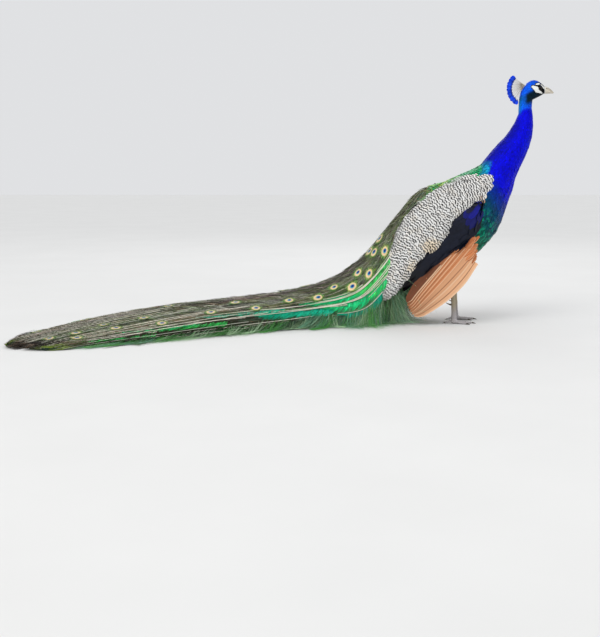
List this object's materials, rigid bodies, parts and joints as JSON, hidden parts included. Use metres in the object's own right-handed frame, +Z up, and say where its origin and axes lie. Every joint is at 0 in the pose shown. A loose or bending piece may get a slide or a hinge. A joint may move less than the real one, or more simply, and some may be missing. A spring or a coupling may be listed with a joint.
{
  "type": "peacock model",
  "caption": "Life-size still model of a standing male Indian peafowl: crested head, raised blue neck, barred folded wings and a long eyed train that sweeps down and lies along the floor",
  "frame": {"origin": "centre of the model's bounding box in plan, on the floor it stands on", "axes": "+X the way the bird faces and its longest extent, +Y its left side, +Z up"},
  "size_m": [1.662, 0.677, 0.7983],
  "materials": {
    "blue_plumage": "glossy feathers with a blue sheen",
    "deep_blue_plumage": "glossy feathers with a blue sheen",
    "teal_plumage": "feathers with a blue-green sheen",
    "green_plumage": "scale-like feathers with a gold-green sheen",
    "crest_plumage": "bare shafts with small blue paddles",
    "bill_horn": "smooth pale horn",
    "eye": "wet gloss",
    "train_green_plumage": "feathers with a green sheen",
    "train_bronze_plumage": "loose barbs with a bronze-green sheen",
    "tail_plumage": "matte feathers",
    "fawn_plumage": "soft matte feathers",
    "barred_plumage": "matte feathers barred black on cream",
    "dark_blue_plumage": "feathers with a dark blue sheen",
    "cinnamon_plumage": "matte flight feathers",
    "leg_skin": "dry scaly skin",
    "claw_horn": "dull dark horn"
  },
  "bodies": {
    "root": {"head": "blue_plumage", "neck_upper": "blue_plumage", "neck_lower": "deep_blue_plumage", "breast": "teal_plumage", "rump": "green_plumage", "crest": "crest_plumage", "bill_upper": "bill_horn", "bill_lower": "bill_horn", "eye_right": "eye", "eye_left": "eye", "train_root": "train_green_plumage", "train_upper": "train_bronze_plumage", "train_middle": "train_bronze_plumage", "train_end": "train_bronze_plumage", "tail": "tail_plumage", "thigh_right": "fawn_plumage", "wing_shield_right": "barred_plumage", "wing_band_right": "dark_blue_plumage", "wing_quills_right": "cinnamon_plumage", "shank_right": "leg_skin", "foot_right": "leg_skin", "spur_right": "claw_horn", "claw_inner_right": "claw_horn", "claw_middle_right": "claw_horn", "claw_outer_right": "claw_horn", "claw_hind_right": "claw_horn", "thigh_left": "fawn_plumage", "wing_shield_left": "barred_plumage", "wing_band_left": "dark_blue_plumage", "wing_quills_left": "cinnamon_plumage", "shank_left": "leg_skin", "foot_left": "leg_skin", "spur_left": "claw_horn", "claw_inner_left": "claw_horn", "claw_middle_left": "claw_horn", "claw_outer_left": "claw_horn", "claw_hind_left": "claw_horn"}
  },
  "joints": []
}
